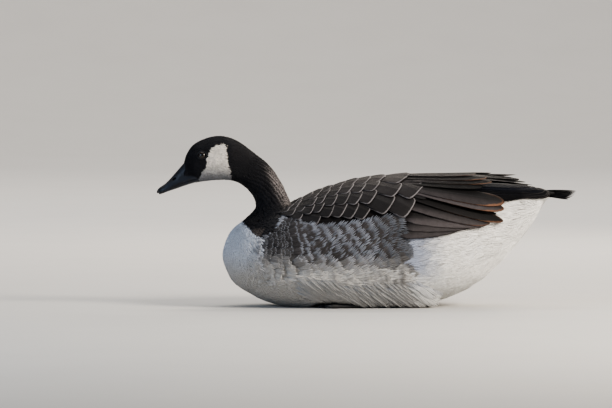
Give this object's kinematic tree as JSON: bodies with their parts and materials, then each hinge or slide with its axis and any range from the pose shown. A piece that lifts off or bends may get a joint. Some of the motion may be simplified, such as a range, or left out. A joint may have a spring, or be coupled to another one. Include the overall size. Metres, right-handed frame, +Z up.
{
  "type": "canada goose",
  "caption": "Life-size still model of a swimming goose, black neck, pale cheek patch, folded wings, resting on its belly with its feet tucked under.",
  "frame": {"origin": "on the floor, under the middle of the bird's bounding box", "axes": "-X towards the bill, +X towards the tail, +Y the bird's right side, +Z up"},
  "size_m": [0.5898, 0.2208, 0.2381],
  "materials": {
    "black_plumage": "soft matte plumage",
    "brown_plumage": "matte vanes with pale fringes",
    "pale_plumage": "soft matte plumage",
    "bill_horn": "satin horn",
    "foot_skin": "scaled skin",
    "eye": "wet gloss"
  },
  "bodies": {
    "root": {"head": "black_plumage", "eye_left": "eye", "eye_right": "eye", "bill_upper": "bill_horn", "bill_lower": "bill_horn", "neck_upper": "black_plumage", "neck_lower": "black_plumage", "torso": "pale_plumage", "wing_left": "brown_plumage", "wing_right": "brown_plumage", "tail": "black_plumage", "leg_left": "foot_skin", "leg_right": "foot_skin"}
  },
  "joints": []
}
